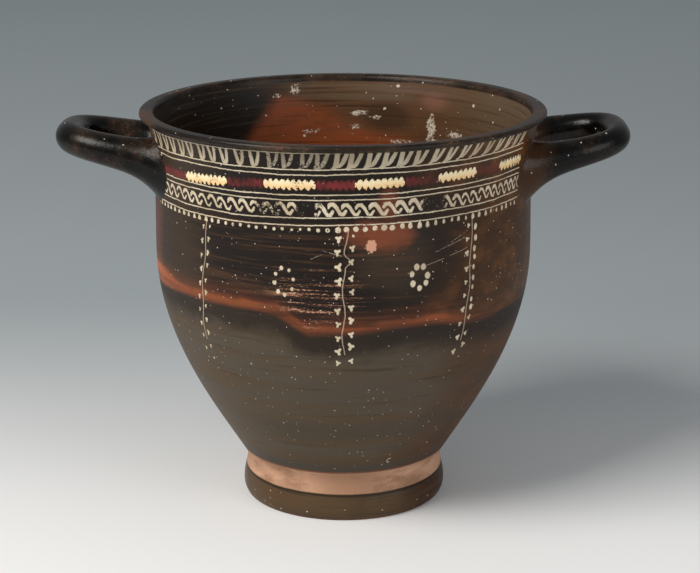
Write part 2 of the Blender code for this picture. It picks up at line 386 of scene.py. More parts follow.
class Finish:
    """A material, the nodes that it is made of and the colours that they take by name."""

    def __init__(self, name, colours):
        self.colours = colours
        self.material = bpy.data.materials.new(name)
        self.material.use_nodes = True
        self.tree = self.material.node_tree
        self.shader = self.tree.nodes["Principled BSDF"]

    def node(self, kind, settings, inputs):
        """Adds a node, sets what it does, then fills its sockets with values or links."""
        made = self.tree.nodes.new(kind)
        for name, setting in settings.items():
            setattr(made, name, setting)
        for key, value in inputs.items():
            if isinstance(value, Value):
                self.tree.links.new(value.socket, made.inputs[key])
            else:
                made.inputs[key].default_value = value
        return made

    def out(self, kind, settings, inputs, output=0):
        return Value(self, self.node(kind, settings, inputs).outputs[output])

    def maths(self, operation, *values, clamp=False):
        settings = {"operation": operation, "use_clamp": clamp}
        return self.out("ShaderNodeMath", settings, dict(enumerate(values)))

    def mix(self, share, first, second):
        """A colour between two others, each a value or a named colour."""
        ends = [(*self.colours[c], 1.0) if isinstance(c, str) else c for c in (first, second)]
        return self.out("ShaderNodeMix", {"data_type": "RGBA"}, {0: share, 6: ends[0], 7: ends[1]}, 2)

    def noise(self, place, scale, detail=2.0, roughness=0.5):
        return self.out("ShaderNodeTexNoise", {}, {"Vector": place, "Scale": scale, "Detail": detail,
                                                  "Roughness": roughness})

    def chance(self, seed):
        """Three random values from 0 to 1 for a whole number."""
        colour = self.out("ShaderNodeTexWhiteNoise", {"noise_dimensions": "1D"}, {"W": seed}, 1)
        return self.parts(colour)

    def parts(self, vector):
        made = self.node("ShaderNodeSeparateXYZ", {}, {0: vector})
        return [Value(self, socket) for socket in made.outputs]

    def object_place(self):
        return self.out("ShaderNodeTexCoord", {}, {}, 3)

    def stretched(self, place, x, y, z):
        return self.out("ShaderNodeVectorMath", {"operation": "MULTIPLY"}, {0: place, 1: (x, y, z)})

    def shaken(self, place, scale, reach):
        """The place moved a little at random, so that painted edges aren't quite regular."""
        swirl = self.out("ShaderNodeTexNoise", {}, {"Vector": place, "Scale": scale, "Detail": 1.0}, 1)
        return self.out("ShaderNodeVectorMath", {"operation": "MULTIPLY_ADD"},
                        {0: swirl, 1: (reach, reach, reach), 2: place})

    def specks(self, place, scale, size, share):
        """Small round marks scattered at random: 1 inside one, 0 elsewhere."""
        cells = self.node("ShaderNodeTexVoronoi", {}, {"Vector": place, "Scale": scale})
        distance = Value(self, cells.outputs["Distance"])
        luck = self.parts(Value(self, cells.outputs["Color"]))
        reach = size * (0.35 + luck[1]) * (luck[0] < share)
        return (reach - distance).ease(0.0, size * 0.35)

    def surface(self, colour, roughness, height, depth=0.0004, strength=0.5, shine=0.2):
        """Joins the colour, the roughness and the bumps to the shader, and gives the material."""
        links = self.tree.links
        links.new(colour.socket, self.shader.inputs["Base Color"])
        links.new(roughness.socket, self.shader.inputs["Roughness"])
        self.shader.inputs["Specular IOR Level"].default_value = shine
        bump = self.node("ShaderNodeBump", {}, {"Strength": strength, "Distance": depth, "Height": height})
        links.new(bump.outputs[0], self.shader.inputs["Normal"])
        return self.material


# Painted levels above the foot's resting plane, in millimetres, and the turn round the wall in degrees
MM_PER_DEGREE = 2.215
LINE_TILT = math.tan(math.radians(1.0))
TOP_LINE = 263.9
TONGUE_LINES = (253.2, 249.9)
GARLAND_LEVEL = 243.5
WAVE_LINES = (237.0, 233.8)
LOWER_LINES = (222.6, 218.1)
DROP_LEVEL = 215.6
BLOSSOM_LEVEL = 204.6
ROSETTE_LEVEL = 182.4
BAND_TOP = 34.6
BAND_BOTTOM = 18.6
RING_LEVEL = 43.6

# Painted patterns: their pitches round the wall and turns, in degrees, and their strokes, in millimetres
TONGUE_PITCH = 4.5
WAVE_PITCH = 3.8
DROP_PITCH = 2.6
BLOSSOM_TURN = 8.0
WAVE_POINTS = ((0.4, 6.6), (1.9, 8.4), (3.9, 8.5), (5.6, 6.8), (8.2, 2.5), (10.1, 2.2), (11.6, 4.4))
WAVE_WIDTHS = (0.85, 0.95, 0.95, 0.85, 0.75, 0.75, 0.6)
SCRATCHES = (((68, 200), (84, 207)), ((60, 197), (82, 203)), ((52, 189), (66, 192)),
             ((70, 193), (84, 196)), ((-20, 197), (-13, 200)))

# Lime inside the bowl, each patch with its turn, level, width and height
LIME_PATCHES = ((32.5, 222, 4.5, 6), (5.6, 241, 5.5, 4.5), (11.6, 238, 3.5, 3), (22, 220.5, 8, 3),
                (4.5, 231, 3.5, 3), (42, 230, 6, 4), (-16.5, 258, 3, 6), (-11, 228, 6, 3), (-23, 255, 3, 3))

# Far enough outside a pattern, in millimetres, for none of its paint to show
AWAY = 9


class Wheel:
    """Where a point lies on the turned body, for a pattern that follows it round."""

    def __init__(self, finish, place):
        self.place = place
        x, y, z = finish.parts(place)
        self.turn = finish.maths("ARCTAN2", x, 0.0 - y) * math.degrees(1)
        self.level = z * 1000
        self.high = (z - x * LINE_TILT) * 1000
        self.back = finish.maths("ARCTAN2", x, y) * math.degrees(1)


def apart(across, up):
    """The distance of a point from where both of its measures are zero."""
    return (across * across + up * up).root()


def smudge(turn, level, at_turn, at_level, wide, tall, wobble=0.0):
    """A soft spot on the turned wall: 1 in its middle, 0 outside it."""
    off_x = (turn - at_turn) / wide
    off_y = (level - at_level) / tall
    return (apart(off_x, off_y) + wobble).ease(1.0, 0.3)


class Slip:
    """The dark glaze slip of the outside, which changes colour round and down the bowl."""

    def __init__(self, finish, wheel):
        self.finish, self.wheel = finish, wheel
        place, turn = wheel.place, wheel.turn
        self.fuzz = finish.noise(place, 17, 4, 0.6) - 0.5
        self.patch = finish.noise(finish.stretched(place, 1, 1, 1.5), 46, 4, 0.65) - 0.5
        self.brushed = finish.noise(finish.stretched(place, 15, 15, 420), 1.0, 5, 0.65)
        self.right = (turn + self.fuzz * 40).ease(14, 50) * turn.ease(130, 95)
        self.tan = (self.patch + self.fuzz * 0.5).ease(-0.08, 0.16)

    def upper(self):
        """The glaze above the misfired band: black, umber at the left and brown at the right; the umber at
        the left is partly painted sheen, and the reddish tint at the far left edge is painted sheen.
        """
        turn, level, fuzz = self.wheel.turn, self.wheel.level, self.fuzz
        colour = self.finish.mix(self.right, "black", "brown")
        # Lighter umber on the left side: partly the glaze's colour, partly painted sheen on the side that
        # faces the key light.
        left = (turn + fuzz * 20).ease(-34, -56) * turn.ease(-150, -110)
        colour = colour.mix(left * 0.85, "umber")
        # Painted reddish sheen along the far left edge of the upper bowl, in the rubbed-clay colour.
        colour = colour.mix(turn.ease(-66, -76) * left * 0.45, "clay_red")
        colour = colour.mix(smudge(turn, level, 13, 195, 15, 34, fuzz) * 0.75, "umber")
        return colour.mix(self.right * self.tan * 0.7, "tan")

    def night(self):
        """Where the glaze is blackest, in the middle of the front."""
        return smudge(self.wheel.turn, self.wheel.level, 5, 168, 13, 17, self.fuzz * 0.8)

    def lower(self):
        """The dull glaze of the lower bowl, with broad smears round it, and darker towards the foot, partly
        as painted shade.
        """
        finish, turn, level = self.finish, self.wheel.turn, self.wheel.level
        smears = finish.noise(finish.stretched(self.wheel.place, 5, 5, 75), 1.0, 3, 0.6)
        colour = finish.mix(smears.ease(0.36, 0.66), "grey", "olive")
        colour = colour.mix(self.right * 0.75, "brown")
        colour = colour.mix(self.right * self.tan * 0.35, "tan")
        dusk = abs(level - 71 - 14 * (smears - 0.5)).ease(12, 4) * abs(turn - 8).ease(70, 25)
        colour = colour.mix(dusk * 0.4, "slate")
        # Darker towards the bare band: partly the glaze's darker lower edge, partly painted shade where the
        # bowl turns in to the foot.
        return colour.mix(level.ease(48, 38) * 0.55, "slate")

    def banded(self):
        """The upper glaze, the misfired orange band and the lower glaze under it."""
        finish, turn, fuzz = self.finish, self.wheel.turn, self.fuzz
        edge = 151 + 12 * turn.ease(-9, -21) * turn.ease(-172, -120)
        edge = edge + 3 * abs(turn - 20).ease(18, 4) - 3 * abs(turn - 90).ease(60, 40)
        edge = edge + fuzz * 5 + self.patch * 3
        above = self.wheel.level - edge
        night = self.night()
        upper = finish.mix(night * 0.85, self.upper(), "black")
        lower = finish.mix((above + self.patch * 22).ease(-26, -9) * 0.9, self.lower(), "dark")
        colour = upper.mix(above.ease(1.5, -1.5), lower)
        half = 2.2 + 4.6 * turn.ease(-48, -80) + self.patch * 3 + 1.2 * abs(turn + 15).ease(12, 3)
        core = (abs(above) - half).ease(2.8, -2.0) * (0.66 + 1.1 * (self.brushed - 0.45))
        glow = above.ease(15, 2) * above.ease(-1, 2) * self.brushed * 0.6
        fade = (turn + fuzz * 24).ease(56, 30) * turn.ease(-118, -90)
        flame = finish.mix(fuzz.ease(-0.1, 0.12), "rust", "orange")
        flame = flame.mix(turn.ease(-58, -76) * 0.7, "flame")
        return colour.mix((core + glow).held() * fade, flame)

    def worn(self, colour):
        """Brush streaks, rubbed places and a red flush, over a glaze colour of the upper bowl."""
        finish, turn, level, fuzz = self.finish, self.wheel.turn, self.wheel.level, self.fuzz
        place = self.wheel.place
        streak = self.brushed.ease(0.48, 0.66)
        sparse = abs(turn + 14).ease(44, 22) * level.ease(150, 160) * level.ease(226, 210)
        colour = colour.mix(streak * sparse * 0.5, "sepia")
        worn = smudge(turn, level, -7, 175, 15, 24, fuzz * 1.6 + self.patch * 0.8)
        colour = colour.mix(worn * streak * 0.6, "clay_red")
        rubbed = finish.noise(finish.stretched(place, 1, 1, 2.2), 520, 3, 0.7)
        spots = (rubbed + (self.brushed - 0.5) * 1.5).ease(0.60, 0.72)
        colour = colour.mix(worn * spots * 0.75, "pink")
        flush = smudge(turn, level, 9.5, 211, 12, 13, fuzz + self.patch)
        flush = flush.most(0.75 * smudge(turn, level, 12.6, 231, 4.6, 16, self.patch * 0.8))
        return colour.mix(flush * 0.75, "brick")

    def weathered(self, colour):
        """The finished glaze colour with pits and lime, its roughness and its height."""
        finish, place = self.finish, self.wheel.place
        colour = colour.mix(self.brushed.ease(0.46, 0.28) * 0.45, "black")
        grain = finish.noise(place, 620, 3, 0.65)
        pits = (grain + self.fuzz * 0.6).ease(0.70, 0.78)
        colour = colour.mix(pits * 0.35, "sepia")
        shaken = finish.shaken(place, 900, 0.0009)
        lime = finish.specks(shaken, 330, 0.13, 0.5).most(finish.specks(shaken, 120, 0.08, 0.16))
        lime = lime * (abs(self.wheel.turn - 20) + self.fuzz * 60).ease(150, 90)
        colour = colour.mix(lime * 0.75, "lime")
        dull = self.wheel.level.ease(160, 140)
        roughness = 0.37 + 0.14 * self.fuzz + 0.08 * dull + 0.1 * self.brushed + 0.25 * lime + 0.2 * pits
        height = self.brushed * 0.45 + grain * 0.2 - pits * 0.5 + lime * 0.6 + self.patch * 0.3
        return colour, roughness, height


def brush_line(high, level, wander, width):
    """How far a point is outside a brushed line round the wall, in millimetres."""
    return abs(high - level + wander) - width


def tongues(finish, wheel):
    """A row of brushed tongues hanging from the top line: how far outside the nearest stroke."""
    pitch = TONGUE_PITCH * MM_PER_DEGREE
    turn = wheel.turn
    cell = (turn + 90.1) / TONGUE_PITCH
    number = cell.floor()
    inside = cell.wrap() * pitch
    rise = wheel.high - TONGUE_LINES[0]
    left_lean = 3.7 * turn.ease(-32, -2) + 2.6 * turn.ease(20, 34) - 1.7
    right_lean = 2.9 + 4.6 * turn.ease(-36, -2) + 1.2 * turn.ease(24, 36)
    thick = 0.92 + 0.38 * turn.ease(-12, 0) * turn.ease(34, 16)

    def arm(across, lean, luck, swell):
        foot = 4.4 + (luck[0] - 0.5) * 1.5
        base = 1.0 + (luck[1] - 0.5) * 1.0
        share = ((rise - base) * 0.105).held()
        sideways = (across - foot - (lean + (luck[2] - 0.5) * 1.3) * share ** 0.38) * 0.86
        under = (rise - base).least(0.0)
        return apart(sideways, under) - (thick + swell - 0.3 * share)

    own = finish.chance(number)
    before = finish.chance(number - 1)
    after = finish.chance(number + 1)
    nearest = arm(inside, left_lean, own, 0.2)
    nearest = nearest.least(arm(inside, right_lean, own, 0.1))
    nearest = nearest.least(arm(inside - pitch, left_lean, after, 0.2))
    return nearest.least(arm(inside + pitch, right_lean, before, 0.1))


def stroke(px, py, start, end, wide, narrow):
    """How far a point is outside a straight brush stroke, in millimetres."""
    run, rise = end[0] - start[0], end[1] - start[1]
    length = run * run + rise * rise
    share = (((px - start[0]) * run + (py - start[1]) * rise) / length).held()
    off_x = px - start[0] - share * run
    off_y = py - start[1] - share * rise
    return apart(off_x, off_y) - (wide + share * (narrow - wide))


def running_wave(finish, wheel):
    """A row of brushed S shapes: how far outside the nearest stroke."""
    pitch = WAVE_PITCH * MM_PER_DEGREE
    far = (wheel.turn - 15).most(0.0)
    cell = (wheel.turn + 0.0042 * far * far + 91.6) / WAVE_PITCH
    number = cell.floor()
    centre = abs(wheel.turn - 6).ease(32, 20)
    nearest = None
    for luck, shift in ((finish.chance(number + 70), 0.0), (finish.chance(number + 69), pitch)):
        across = cell.wrap() * pitch + shift + (luck[0] - 0.5) * 1.2
        rise = wheel.high - LOWER_LINES[0] + (luck[1] - 0.5) * 1.0
        bold = 0.25 * centre + (luck[2] - 0.5) * 0.3
        parts = range(5) if shift == 0.0 else range(3, 6)
        for part in parts:
            outside = stroke(across, rise, *WAVE_POINTS[part:part + 2],
                             bold + WAVE_WIDTHS[part], bold + WAVE_WIDTHS[part + 1])
            nearest = outside if nearest is None else nearest.least(outside)
    return nearest


def hanging_drops(finish, wheel):
    """A row of dots and drops under the lowest line: how far outside the nearest one."""
    cell = (wheel.turn + 91.2) / DROP_PITCH
    luck = finish.chance(cell.floor() + 140)
    size = 0.95 + 0.75 * wheel.turn.ease(-6, -2) * wheel.turn.ease(32, 14)
    size = size + 0.3 * wheel.turn.ease(-30, -42) + (luck[0] - 0.5) * 0.4
    across = (cell.wrap() - 0.5) * DROP_PITCH * MM_PER_DEGREE + (luck[1] - 0.5) * 0.9
    rise = wheel.high - DROP_LEVEL + (luck[2] - 0.5) * 0.8
    tall = 1 + 0.55 * wheel.turn.ease(-28, -45) + 0.65 * wheel.turn.ease(15, 20)
    narrow = 1 + 0.25 * rise * (tall - 1)
    off_x = across * narrow.most(0.4)
    off_y = rise / tall
    return apart(off_x, off_y) - size


def garland(finish, wheel, ragged):
    """The band of yellow and crimson lengths: how far outside each, 1 where it is yellow, and the rise."""
    turn = wheel.turn
    along = turn + 51.5
    share = (along * (0.031879 + along * (0.0000975 - along * 0.000000266))).wrap()
    yellow = share.ease(0.585, 0.565) * (turn > -52.5)
    sag = 3.2 * turn.ease(-18, -58) + 0.8 * turn.ease(45, 66)
    rise = wheel.high - GARLAND_LEVEL + sag
    warp = ragged * 2.4 + 1.5 * finish.noise(wheel.place, 110, 2)
    upper_bumps = abs((turn * (MM_PER_DEGREE * math.pi / 3.7) + warp).sine())
    lower_bumps = abs((turn * (MM_PER_DEGREE * math.pi / 3.9) + warp + 1.0).sine())
    bumps = lower_bumps + (upper_bumps - lower_bumps) * (rise > 0)
    end = abs(share - 0.285).ease(0.29, 0.23)
    yellow_out = abs(rise) - (0.3 + 1.0 * end + 2.0 * bumps) + (ragged - 0.5) * 2.6
    red_out = abs(rise + 0.2) - 1.5 - 1.4 * bumps + (ragged - 0.5) * 2.6
    return yellow, yellow_out, red_out, rise


class Pendants:
    """The three hanging strings, and a point's place across and below the one that it is by."""

    def __init__(self, wheel, wander):
        turn = wheel.turn
        left, right = turn < -20, turn > 20
        middle = 1 - left - right
        drop = 216.5 - wheel.high
        start = 0.4 - 42.9 * left + 39.7 * right
        slope = (-0.053 * left - 0.003 * middle - 0.026 * right) * drop
        self.left, self.middle, self.right, self.drop = left, middle, right, drop
        self.across = (turn - start - slope) * MM_PER_DEGREE + (wander - 0.5) * 1.6

    def string(self):
        """How far outside the nearest string."""
        middle, drop = self.middle, self.drop
        sway = (drop * 0.2 + self.right * 2).sine() * (0.5 + 0.5 * middle)
        kink = drop.ease(17, 6) + abs(drop - 21).ease(4.5, 0.4)
        string = abs(self.across + sway - kink * middle * 2.8) - 0.3
        return string + 3 * drop.ease(82, 85) + 3 * drop.ease(1, -1)

    def leaf(self, finish):
        """How far outside the nearest of the leaves on both sides of the strings."""
        left, middle, right = self.left, self.middle, self.right
        across, drop = self.across, self.drop
        side = across > 0
        pitch = 9.2 - 2.7 * right * side * (drop < 66)
        rows = (drop - 1.5 + 2.6 * side) / pitch
        luck = finish.chance(rows.floor() + side * 40 + right * 90 + left * 200)
        off_x = abs(across) - 3.2 - 0.6 * middle - 0.9 * middle * side + 0.2 * left + (luck[0] - 0.5) * 1.1
        off_y = (rows.wrap() - 0.5) * pitch + (luck[1] - 0.5) * 1.6
        angle = finish.maths("ARCTAN2", off_x, off_y) + (luck[2] - 0.5) * 0.9
        oval = right * side * (drop < 66)
        leafy = (0.3 + 0.12 * middle) * (1 - oval)
        radius = 1.25 + 0.3 * middle + 0.25 * oval + (luck[2] - 0.5) * 0.5
        radius = radius * (1 + leafy * (angle * 3).cosine())
        squeeze = 1 + 0.45 * left + 0.35 * oval
        leaf = (off_x * off_x * squeeze * squeeze + off_y * off_y * 0.7).root() - radius
        ends = 97 * left + 92 * middle + 95 * right
        leaf = leaf + 3 * (drop - ends).ease(-1, 1) + 3 * drop.ease(5, 3) + 6 * (abs(across) > 6.8)
        return leaf


def rosettes(finish, wheel):
    """Two rings of dots between the strings: how far outside the nearest dot."""
    right = wheel.turn > 3
    off_x = (wheel.turn + 16.8 - 38.9 * right) * MM_PER_DEGREE
    off_y = wheel.high - ROSETTE_LEVEL
    wide = 6.2 - 0.8 * right
    tall = 8.6 - 1.5 * right
    count = 8 - right
    sector = (finish.maths("ARCTAN2", off_y / tall, off_x / wide) / math.tau + 1) * count + 0.3
    number = sector.floor()
    luck = finish.chance(number + 300 + 20 * right)
    angle = (number + 0.2 + (luck[0] - 0.5) * 0.3) * math.tau / count
    dot_x = off_x - wide * angle.cosine()
    dot_y = (off_y - tall * angle.sine()) * 0.85
    size = 1.2 + 0.45 * right + (luck[1] - 0.5) * 0.4
    return apart(dot_x, dot_y) - size


def scratches(finish, wheel):
    """Fine pale scratches in the glaze on the front: how far outside the nearest."""
    px, py = wheel.turn * MM_PER_DEGREE, wheel.high
    nearest = stroke(px, py, (-13.0, 202.5), (-1.0, 199.0), 0.1, 0.25)
    for start, end in SCRATCHES:
        nearest = nearest.least(stroke(px, py, start, end, 0.15, 0.2))
    return nearest


def paint(distance, coat, soft, wear=0.0):
    """How much paint is left where its edge is a distance away and its coat wears thin."""
    return distance.ease(soft, -soft) * (coat - wear).ease(-0.36, -0.16)


def painted_frieze(colours):
    """The wall under the lip: dark glaze with lines, tongues, a garland, a wave and drops on the front."""
    finish = Finish("painted frieze", colours)
    place = finish.object_place()
    slip = Slip(finish, Wheel(finish, place))
    colour, roughness, height = slip.weathered(slip.worn(slip.upper()))
    wheel = Wheel(finish, finish.shaken(place, 420, 0.0007))
    dry = finish.noise(place, 900, 3, 0.6)
    broad = finish.noise(place, 60, 3, 0.6)
    turn, high = wheel.turn, wheel.high
    coat = (dry - 0.5) + (broad - 0.5) * 0.9
    frieze = (turn + (broad - 0.5) * 5).ease(-73, -71) * (turn + (broad - 0.5) * 5).ease(65, 63)
    outside = AWAY * (1 - frieze)

    yellow, yellow_out, red_out, rise = garland(finish, wheel, dry)
    red = (red_out + outside + AWAY * yellow).ease(1.2, -1.2) * broad.ease(0.25, 0.55)
    red = red * (1 - 0.6 * turn.ease(14, 24)) * (1 - 0.3 * turn.ease(-20, -34))
    colour = colour.mix(red * 0.85, "crimson")
    ochre = paint(yellow_out + outside + AWAY * (1 - yellow), coat, 0.3, 0.02)
    shade = (rise + (broad - 0.5) * 6).ease(1.8, -2.4)
    colour = colour.mix(ochre, finish.mix(shade, "yellow", "ochre"))

    worn = abs(turn + 12).ease(11, 8)
    inside = (high > TONGUE_LINES[0] - 0.6) * (high < TOP_LINE)
    white = paint(tongues(finish, wheel) + AWAY * (1 - inside) + outside, coat, 0.3, 0.13 * worn)
    white = white * (0.74 - 0.22 * worn)
    lost = abs(turn + 21).ease(5.5, 3).most(abs(turn + 10.5).ease(3.2, 2))
    lost = lost.most(abs(turn - 26.5).ease(5, 3)) * 0.32
    inside = (high < WAVE_LINES[1]) * (high > LOWER_LINES[0])
    wave = running_wave(finish, wheel) + AWAY * (1 - inside) + outside
    white = white.most(paint(wave, coat, 0.3, lost + 0.07))
    drops = hanging_drops(finish, wheel) + AWAY * (abs(high - DROP_LEVEL) > 4.5) + outside
    white = white.most(paint(drops, coat, 0.3, 0.03))
    wander = finish.noise(place, 34, 2)
    waver = (wander - 0.5) * 1.9
    lines = brush_line(high, TOP_LINE, waver * 0.4, 0.22)
    for level in (*TONGUE_LINES, *WAVE_LINES, *LOWER_LINES):
        lines = lines.least(brush_line(high, level, waver * (0.6 + (level % 7) * 0.1), 0.34))
    white = white.most(paint(lines + outside, coat, 0.24, 0.0))
    colour = colour.mix(paint(Pendants(wheel, wander).string(), coat, 0.3) * 0.7, "thread")
    cream = finish.mix(broad.ease(0.35, 0.65), "cream", "cream_dull")
    colour = colour.mix(white * 0.95, cream)
    painted = white.most(ochre)
    return finish.surface(colour, roughness + 0.22 * painted, height + painted * 0.5)


def painted_belly(colours):
    """The wall below the frieze: dark glaze with hanging strings, two rosettes and a misfired band."""
    finish = Finish("painted belly", colours)
    place = finish.object_place()
    slip = Slip(finish, Wheel(finish, place))
    colour, roughness, height = slip.weathered(slip.worn(slip.banded()))
    wheel = Wheel(finish, finish.shaken(place, 420, 0.0007))
    broad = finish.noise(place, 60, 3, 0.6)
    dry = finish.noise(place, 900, 3, 0.6)
    coat = (dry - 0.5) + (broad - 0.5) * 0.9
    hanging = Pendants(wheel, finish.noise(place, 34, 2))
    string, leaf = hanging.string(), hanging.leaf(finish)
    colour = colour.mix(paint(string, coat, 0.3) * 0.7, "thread")
    white = paint(leaf.least(rosettes(finish, wheel)), coat, 0.3, -0.04)
    white = white.most(paint(scratches(finish, wheel), coat, 0.2, 0.17) * 0.5)
    cream = finish.mix(broad.ease(0.35, 0.65), "cream", "cream_dull")
    colour = colour.mix(white * 0.95, cream)
    off_x, off_y = (wheel.turn - BLOSSOM_TURN) * MM_PER_DEGREE, wheel.high - BLOSSOM_LEVEL
    angle = finish.maths("ARCTAN2", off_y, off_x)
    star = (off_x * off_x * 1.6 + off_y * off_y).root() - 4.0 - 0.45 * (angle * 7).sine()
    colour = colour.mix((star + (dry - 0.5) * 2.5).ease(0.4, -0.4) * 0.9, "pink")
    return finish.surface(colour, roughness + 0.22 * white, height + white * 0.5)


def glazed_base(colours):
    """The lower bowl: dull glaze that ends in a wavering edge above the bare band."""
    finish = Finish("lower glaze", colours)
    place = finish.object_place()
    wheel = Wheel(finish, place)
    slip = Slip(finish, wheel)
    colour, roughness, height = slip.weathered(slip.lower())
    ring_x, ring_y = wheel.turn * 1.85 - 42.0, wheel.high - RING_LEVEL
    ring = abs(apart(ring_x, ring_y) - 1.7) - 0.28 + 3 * (ring_x > 1.1)
    colour = colour.mix(ring.ease(0.2, -0.2) * 0.8, "lime")
    edge = wheel.level - BAND_TOP - (finish.noise(place, 34, 2) - 0.5) * 0.6
    bare = edge.ease(0.4, -0.4)
    colour = colour.mix(abs(edge - 0.5).ease(1.1, 0.3), "clay_red")
    colour = colour.mix(bare, bare_clay(finish, wheel))
    return finish.surface(colour, roughness + 0.25 * bare, height)


def bare_clay(finish, wheel):
    """The band of clay left without glaze round the foot."""
    fine = finish.noise(wheel.place, 520, 4, 0.7)
    broad = finish.noise(finish.stretched(wheel.place, 1, 1, 2.5), 38, 4, 0.65)
    scuffs = finish.noise(finish.stretched(wheel.place, 1, 1, 1.6), 150, 4, 0.75)
    # Random stains, and painted shade that darkens the front middle of the bare band.
    stain_and_shade = broad.ease(0.35, 0.7).most(0.75 * abs(wheel.turn - 4).ease(34, 6))
    colour = finish.mix(stain_and_shade, "clay", "clay_dark")
    colour = colour.mix(fine.ease(0.58, 0.72) * 0.5, "clay_red")
    return colour.mix((scuffs + (broad - 0.5) * 0.4).ease(0.70, 0.76) * 0.7, "umber")


def glazed_foot(colours):
    """The foot's outside: dark worn glaze with the band of bare clay above it."""
    finish = Finish("foot glaze", colours)
    place = finish.object_place()
    wheel = Wheel(finish, place)
    turn, level = wheel.turn, wheel.level
    brushed = finish.noise(finish.stretched(place, 14, 14, 520), 1.0, 5, 0.65)
    worn = finish.noise(place, 120, 4, 0.65)
    cloud = finish.noise(place, 30, 3, 0.6)
    waver = (finish.noise(place, 34, 2) - 0.5) * 0.9
    right = (turn + (cloud - 0.5) * 40).ease(20, 60) * turn.ease(130, 95)
    colour = finish.mix(right, "olive", "brown")
    colour = colour.mix(brushed.ease(0.46, 0.64) * 0.5, "sepia")
    colour = colour.mix(brushed.ease(0.5, 0.32) * 0.6, "black")
    colour = colour.mix(cloud.ease(0.5, 0.7) * 0.5, "umber")
    edge = (level + (worn - 0.5) * 4).ease(1.8, 0.5)
    colour = colour.mix(edge * 0.6, "clay_red")
    shaken = finish.shaken(place, 900, 0.0009)
    lime = finish.specks(shaken, 280, 0.15, 0.35)
    colour = colour.mix(lime * 0.75, "lime")
    colour = colour.mix(abs(level - BAND_BOTTOM + 1.1 + waver).ease(1.2, 0.3) * 0.7, "black")
    bare = (level - BAND_TOP - waver).ease(0.4, -0.4)
    bare = bare * (level - BAND_BOTTOM + waver).ease(-0.4, 0.4)
    colour = colour.mix(bare, bare_clay(finish, wheel))
    roughness = 0.34 + 0.14 * brushed + 0.3 * bare + 0.15 * edge + 0.2 * lime
    return finish.surface(colour, roughness, brushed * 0.6 + worn * 0.4 + lime * 0.5, strength=0.6)


def glazed_lip(colours):
    """The lip: black glaze, rubbed brown along its edges."""
    finish = Finish("lip glaze", colours)
    place = finish.object_place()
    wheel = Wheel(finish, place)
    cloud = finish.noise(place, 24, 3, 0.6)
    grain = finish.noise(place, 500, 3, 0.65)
    streaks = finish.noise(finish.stretched(place, 30, 30, 700), 1.0, 3, 0.6)
    right = (wheel.turn + (cloud - 0.5) * 60).ease(10, 60) * wheel.turn.ease(120, 80)
    colour = finish.mix(cloud.ease(0.4, 0.7), "lip", "umber")
    colour = colour.mix(right * 0.5, "dark")
    colour = colour.mix(streaks.ease(0.5, 0.7) * 0.28, "sepia")
    rubbed = (grain + (cloud - 0.5) * 0.7).ease(0.60, 0.70)
    colour = colour.mix(rubbed * 0.4, "clay_red")
    lime = finish.specks(finish.shaken(place, 900, 0.0009), 260, 0.15, 0.3)
    colour = colour.mix(lime * 0.8, "lime")
    roughness = 0.26 + 0.2 * cloud + 0.2 * rubbed
    return finish.surface(colour, roughness, grain + streaks * 0.5 - rubbed * 0.4)


